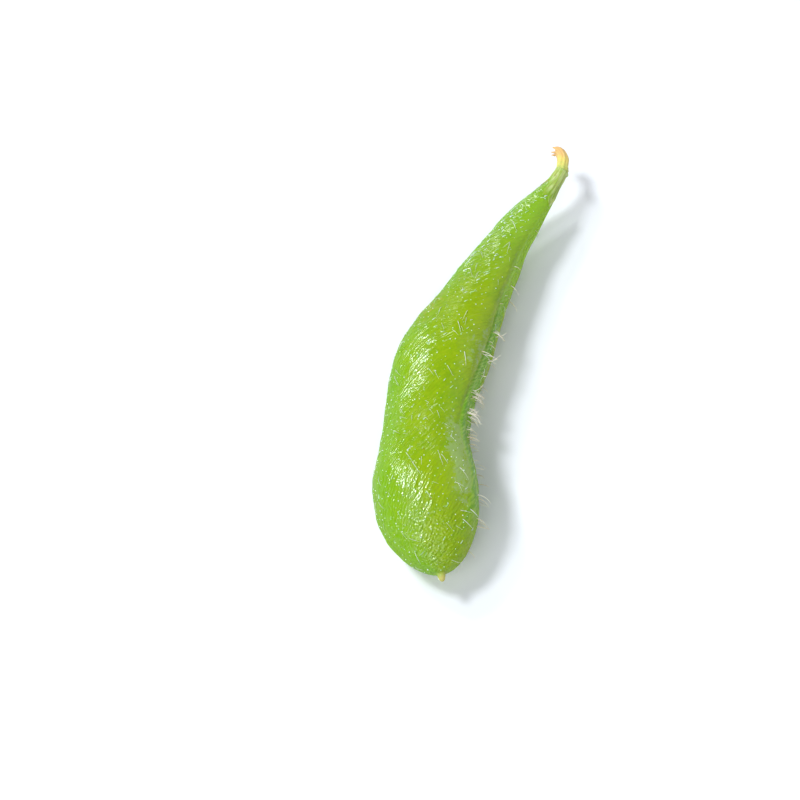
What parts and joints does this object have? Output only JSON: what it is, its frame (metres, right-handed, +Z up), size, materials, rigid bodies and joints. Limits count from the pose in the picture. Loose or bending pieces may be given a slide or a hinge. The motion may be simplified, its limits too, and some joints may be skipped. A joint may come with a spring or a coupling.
{
  "type": "edamame pod",
  "caption": "Fresh green soybean pod as picked, lying on its broad side: plump curved pod, papery calyx round its neck and a short hooked, torn stalk.",
  "frame": {"origin": "middle of the footprint, on the surface that the pod lies on", "axes": "+Z up from the resting surface through the pod's thickness, +Y from the blunt beak end to the stalk, +X towards the seam edge that carries the beans"},
  "size_m": [0.013, 0.0526, 0.0086],
  "materials": {
    "pod_skin": "satin",
    "calyx_skin": "matte",
    "stalk_fibre": "matte",
    "hair": "satin"
  },
  "bodies": {
    "root": {"pod": "pod_skin", "calyx": "calyx_skin", "stalk": "stalk_fibre"}
  },
  "joints": []
}
